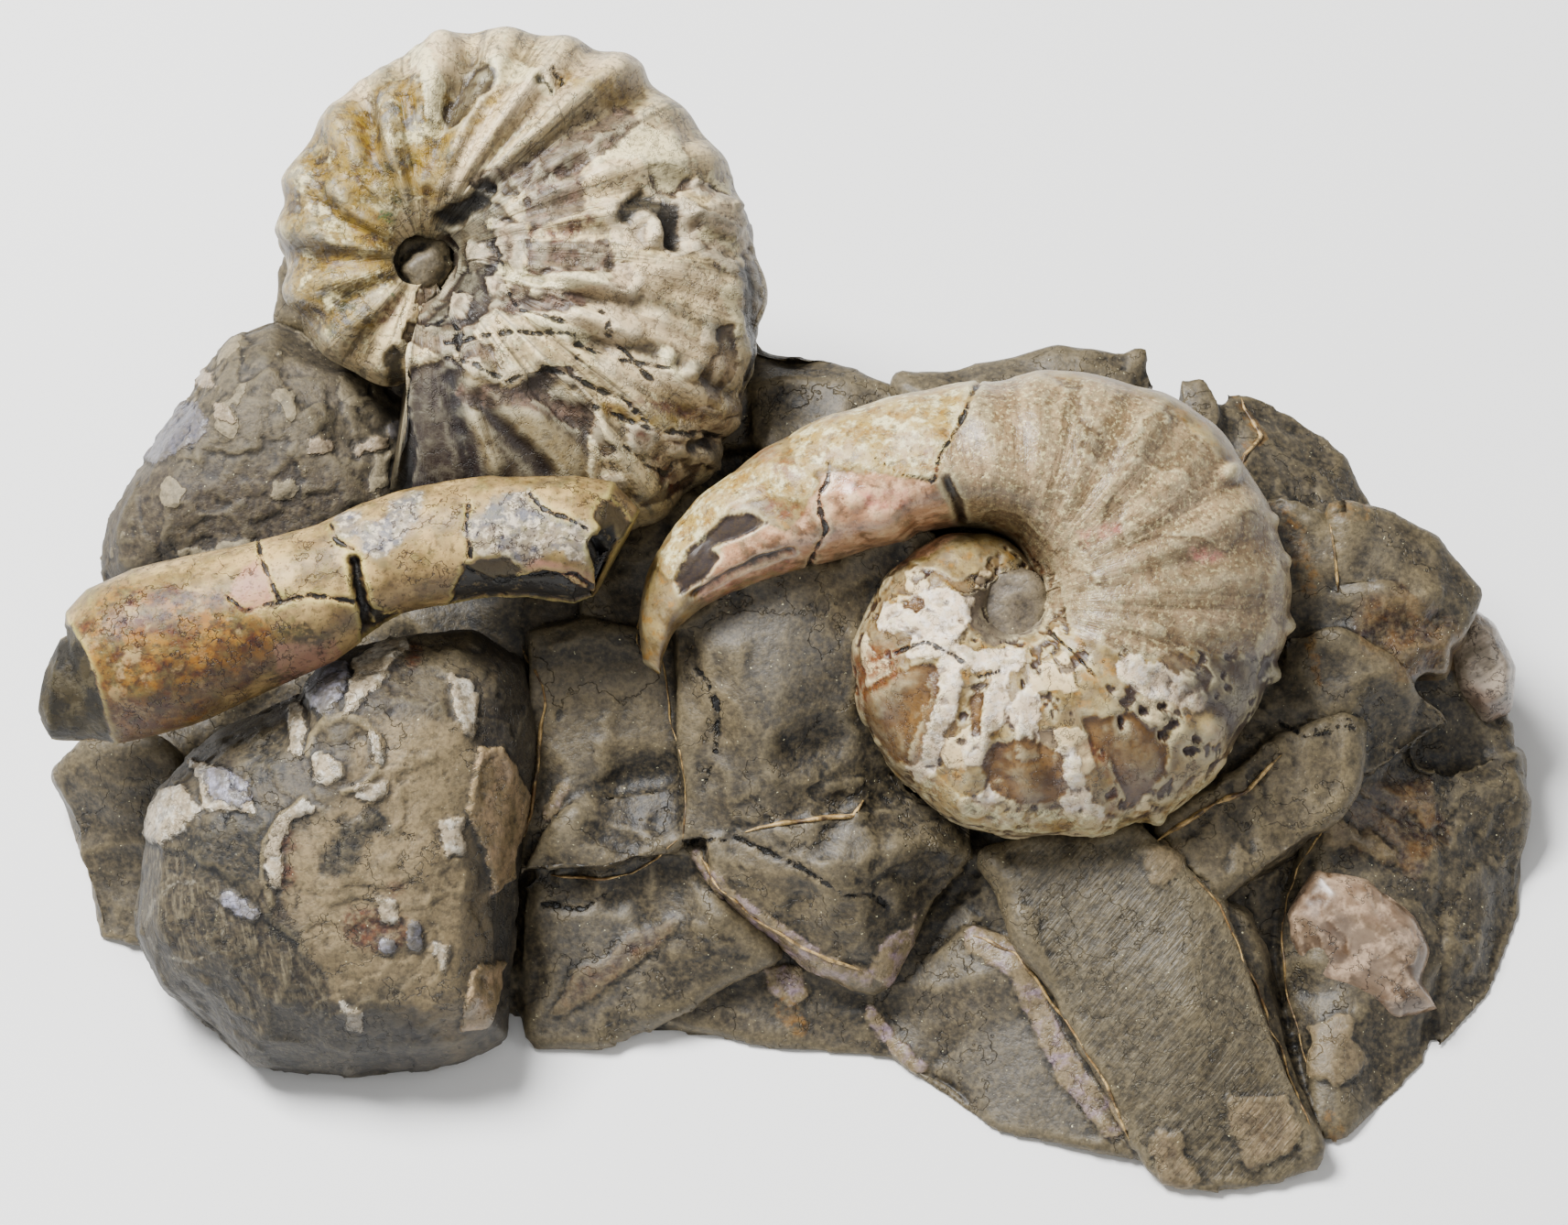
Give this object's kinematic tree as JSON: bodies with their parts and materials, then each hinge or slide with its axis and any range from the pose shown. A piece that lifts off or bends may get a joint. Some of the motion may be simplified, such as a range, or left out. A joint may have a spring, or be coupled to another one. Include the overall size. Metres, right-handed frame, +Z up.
{
  "type": "hoploscaphites ammonite cluster",
  "caption": "Fossil ammonites, a straight baculite shell and shell moulds held in a broken mudstone concretion that stands on a flat base.",
  "frame": {"origin": "middle of the cluster's box, on the flat base", "axes": "+Z up out of the base, +X to the right along the longest side, and the prepared face slopes up from -Y to +Y"},
  "size_m": [0.164, 0.117, 0.0684],
  "materials": {
    "mudstone": "matt, dark grey-brown mudstone",
    "cream_shell": "satin, cream to golden-brown fossil shell",
    "grey_shell": "satin, grey and ochre fossil shell",
    "honey_shell": "satin, rust and tan fossil shell",
    "brown_mould": "matt, grey-brown internal mould",
    "pink_nacre": "pearly, tan and pink nacre",
    "white_nacre": "pearly, pale nacre"
  },
  "bodies": {
    "root": {"matrix": "mudstone", "main_ammonite": "cream_shell", "upper_ammonite": "grey_shell", "baculite": "honey_shell", "worn_ammonite": "brown_mould", "rear_mould": "brown_mould", "nacre_shell": "pink_nacre", "edge_shell": "white_nacre"}
  },
  "joints": []
}
